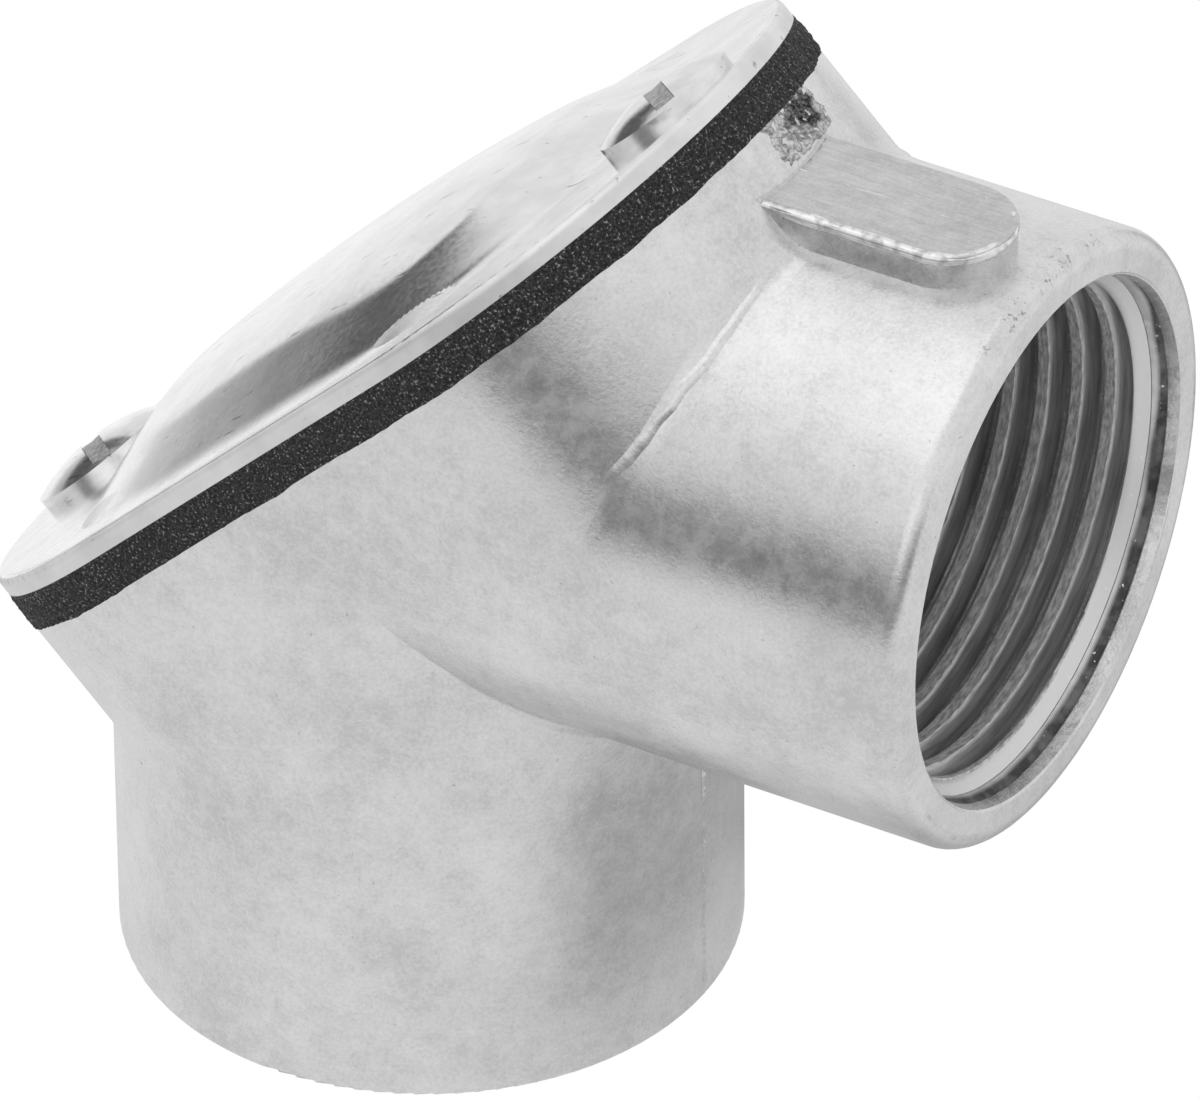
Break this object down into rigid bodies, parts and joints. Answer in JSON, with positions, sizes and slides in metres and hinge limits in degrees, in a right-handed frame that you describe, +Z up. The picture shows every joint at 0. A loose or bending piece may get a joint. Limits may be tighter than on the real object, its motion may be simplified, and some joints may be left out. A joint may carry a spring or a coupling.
{
  "type": "conduit pull elbow",
  "caption": "Right-angle cast conduit fitting with female threaded hubs and a gasketed, domed cover across its back corner that comes off so wires can be pulled round the bend.",
  "frame": {"origin": "centre of the lower hub's mouth, on the surface that the part stands on", "axes": "+Z up along the lower hub, +X out along the side hub; the cover faces -X and +Z at 45 degrees"},
  "size_m": [0.0557, 0.031, 0.0557],
  "materials": {
    "cast_zinc": "as-cast zinc, matt with cloudy mottling",
    "foam_rubber": "fine-celled foam, cut edge",
    "plated_sheet": "pressed and bright zinc plated",
    "plated_screw": "bright zinc plated"
  },
  "bodies": {
    "housing": {"body": "cast_zinc", "gasket": "foam_rubber"},
    "cover": {"cover": "plated_sheet"},
    "screw_upper": {"screw_upper": "plated_screw"},
    "screw_lower": {"screw_lower": "plated_screw"}
  },
  "joints": [
    {"name": "cover_lift", "type": "slide", "parent": "housing", "child": "cover", "axis": [-0.7071, 0, 0.7071], "range_m": [0, 0.03]},
    {"name": "screw_upper_turn", "type": "hinge", "parent": "cover", "child": "screw_upper", "pos_m": [0.01598, 0, 0.05048], "axis": [-0.7071, 0, 0.7071], "continuous": true},
    {"name": "screw_lower_turn", "type": "hinge", "parent": "cover", "child": "screw_lower", "pos_m": [-0.01598, 0, 0.01852], "axis": [-0.7071, 0, 0.7071], "continuous": true}
  ]
}
